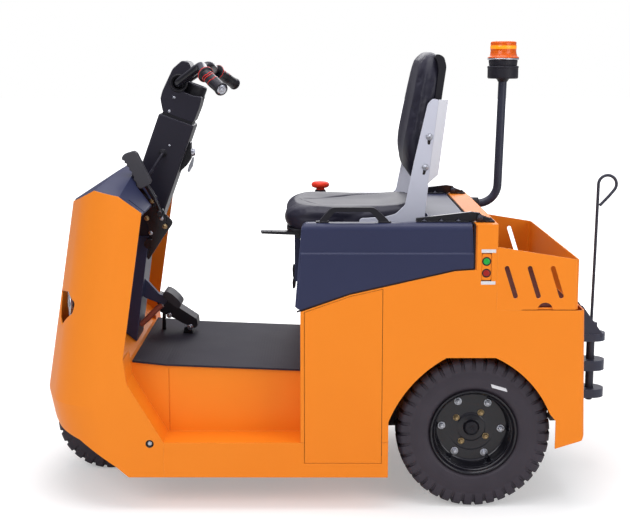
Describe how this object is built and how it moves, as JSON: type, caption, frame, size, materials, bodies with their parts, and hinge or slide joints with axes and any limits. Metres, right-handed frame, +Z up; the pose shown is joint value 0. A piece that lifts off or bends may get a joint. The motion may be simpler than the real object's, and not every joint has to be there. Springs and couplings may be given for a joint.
{
  "type": "electric tow tractor",
  "caption": "Sit-on electric tow tractor: leaning front shroud, handlebar steering column, seat on a hinged hood, tray, beacon and tow coupling, on three wheels.",
  "frame": {"origin": "on the ground under the middle of the overall length, on the centre plane", "axes": "+X forward in the direction of travel, +Y to the driver's left, +Z up"},
  "size_m": [1.6433, 0.7805, 1.251],
  "materials": {
    "orange_enamel": "gloss powder coat",
    "grey_enamel": "satin powder coat",
    "navy_plastic": "moulded, fine grain",
    "black_plastic": "moulded",
    "black_enamel": "satin",
    "zinc_steel": "zinc plated",
    "floor_rubber": "moulded",
    "lamp_glass": "clear over a reflector",
    "amber_lens": "moulded lens",
    "red_plastic": "moulded",
    "seat_vinyl": "vinyl over foam",
    "tyre": "moulded industrial tyre",
    "battery_case": "steel tray with plastic cells"
  },
  "bodies": {
    "chassis": {"chassis_frame": "orange_enamel", "front_shroud": "orange_enamel", "headlamps": "lamp_glass", "floor_mat": "floor_rubber", "dash_cowl": "navy_plastic", "column_pedestal": "navy_plastic", "column_housing": "navy_plastic", "key_switch": "zinc_steel", "direction_lever": "black_plastic", "parking_brake": "grey_enamel", "brake_pedal": "black_enamel", "accelerator_pedal": "black_enamel", "wheel_houses": "orange_enamel", "rear_axle": "black_enamel", "rear_frame": "black_enamel", "rear_body": "orange_enamel", "side_covers": "orange_enamel", "tray": "orange_enamel", "inching_buttons": "red_plastic", "hinge_brackets": "orange_enamel", "beacon_pole": "black_enamel", "beacon_base": "black_plastic", "beacon_lens": "amber_lens", "tow_coupling": "black_enamel", "battery": "battery_case"},
    "hood": {"hood": "navy_plastic", "hinge_arms": "black_enamel", "grab_handles": "black_enamel", "hood_latch": "black_plastic", "seat_rails": "black_enamel", "seat_cushion": "seat_vinyl", "seat_backrest": "seat_vinyl", "seat_bracket": "grey_enamel", "emergency_stop": "red_plastic"},
    "steering_head": {"head_housing": "navy_plastic", "gauge": "lamp_glass", "handlebar": "black_enamel", "handlebar_grips": "floor_rubber"},
    "steered_fork": {"front_fork": "black_enamel"},
    "front_wheel": {"front_rim": "black_enamel", "front_tyre": "tyre"},
    "rear_wheel_left": {"rim_left": "black_enamel", "tyre_left": "tyre"},
    "rear_wheel_right": {"rim_right": "black_enamel", "tyre_right": "tyre"},
    "tow_pin": {"tow_pin": "zinc_steel"}
  },
  "joints": [
    {"name": "hood_hinge", "type": "hinge", "parent": "chassis", "child": "hood", "pos_m": [-0.37925, 0, 0.791], "axis": [0, -1, 0], "range_deg": [0, 60]},
    {"name": "fork_steer", "type": "hinge", "parent": "chassis", "child": "steered_fork", "pos_m": [0.66175, 0, 0.33], "axis": [0, 0, 1], "range_deg": [-60, 60]},
    {"name": "handlebar_turn", "type": "hinge", "parent": "chassis", "child": "steering_head", "pos_m": [0.66175, 0, 0.431], "axis": [-0.342, 0, 0.9397], "range_deg": [-60, 60]},
    {"name": "front_wheel_spin", "type": "hinge", "parent": "steered_fork", "child": "front_wheel", "pos_m": [0.66175, 0, 0.15], "axis": [0, 1, 0], "continuous": true},
    {"name": "rear_left_spin", "type": "hinge", "parent": "chassis", "child": "rear_wheel_left", "pos_m": [-0.37325, 0.31, 0.2075], "axis": [0, 1, 0], "continuous": true},
    {"name": "rear_right_spin", "type": "hinge", "parent": "chassis", "child": "rear_wheel_right", "pos_m": [-0.37325, -0.31, 0.2075], "axis": [0, 1, 0], "continuous": true},
    {"name": "tow_pin_lift", "type": "slide", "parent": "chassis", "child": "tow_pin", "axis": [0, 0, 1], "range_m": [0, 0.19]}
  ],
  "couplings": [
    {"joint": "handlebar_turn", "follows": "fork_steer", "ratio": 1}
  ]
}
